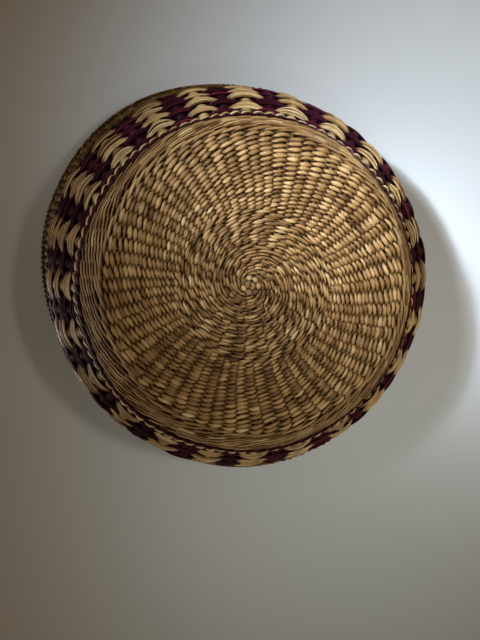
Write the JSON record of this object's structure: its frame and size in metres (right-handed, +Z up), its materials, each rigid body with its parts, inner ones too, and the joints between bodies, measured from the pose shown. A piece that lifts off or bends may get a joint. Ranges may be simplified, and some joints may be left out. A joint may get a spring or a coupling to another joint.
{
  "type": "round basket",
  "caption": "Round twined basket of natural grass strands with a flat base, flared wall, two-colour check band and rolled rim.",
  "frame": {"origin": "centre of the face that the basket stands on", "axes": "+Z up through the middle of the opening, +X along the four long stakes that lie lowest at the centre"},
  "size_m": [0.3108, 0.3108, 0.1066],
  "materials": {
    "stake_reed": "dry split reed, matte",
    "straw_weft": "natural straw strand, satin with brown flecks",
    "pale_weft": "pale natural straw strand, satin",
    "purple_weft": "straw strand dyed dark purple, satin",
    "rim_weft": "brown natural straw strand, satin"
  },
  "bodies": {
    "root": {"lower_long_stake_1": "stake_reed", "lower_long_stake_2": "stake_reed", "lower_long_stake_3": "stake_reed", "lower_long_stake_4": "stake_reed", "upper_long_stake_1": "stake_reed", "upper_long_stake_2": "stake_reed", "upper_long_stake_3": "stake_reed", "upper_long_stake_4": "stake_reed", "base_centre_weft": "straw_weft", "base_middle_weft": "straw_weft", "base_outer_weft": "straw_weft", "inside_base_centre_weft": "straw_weft", "inside_base_outer_weft": "straw_weft", "first_ring_with_16_stakes": "straw_weft", "spread_ring_with_32_stakes": "straw_weft", "edge_wale": "straw_weft", "lower_side_weft_with_32_stakes": "straw_weft", "line_purple_strand": "purple_weft", "line_natural_strand": "straw_weft", "inside_lower_weft": "straw_weft", "band_course_1_natural_strand": "pale_weft", "band_course_1_purple_strand": "purple_weft", "band_course_2_natural_strand": "pale_weft", "band_course_2_purple_strand": "purple_weft", "band_course_3_natural_strand": "pale_weft", "band_course_3_purple_strand": "purple_weft", "band_course_4_natural_strand": "pale_weft", "band_course_4_purple_strand": "purple_weft", "band_course_5_natural_strand": "pale_weft", "band_course_5_purple_strand": "purple_weft", "band_course_6_natural_strand": "pale_weft", "band_course_6_purple_strand": "purple_weft", "band_course_7_natural_strand": "pale_weft", "band_course_7_purple_strand": "purple_weft", "band_course_8_natural_strand": "pale_weft", "band_course_8_purple_strand": "purple_weft", "upper_side_weft": "rim_weft", "inside_upper_weft": "rim_weft", "rim_roll": "rim_weft"}
  },
  "joints": []
}
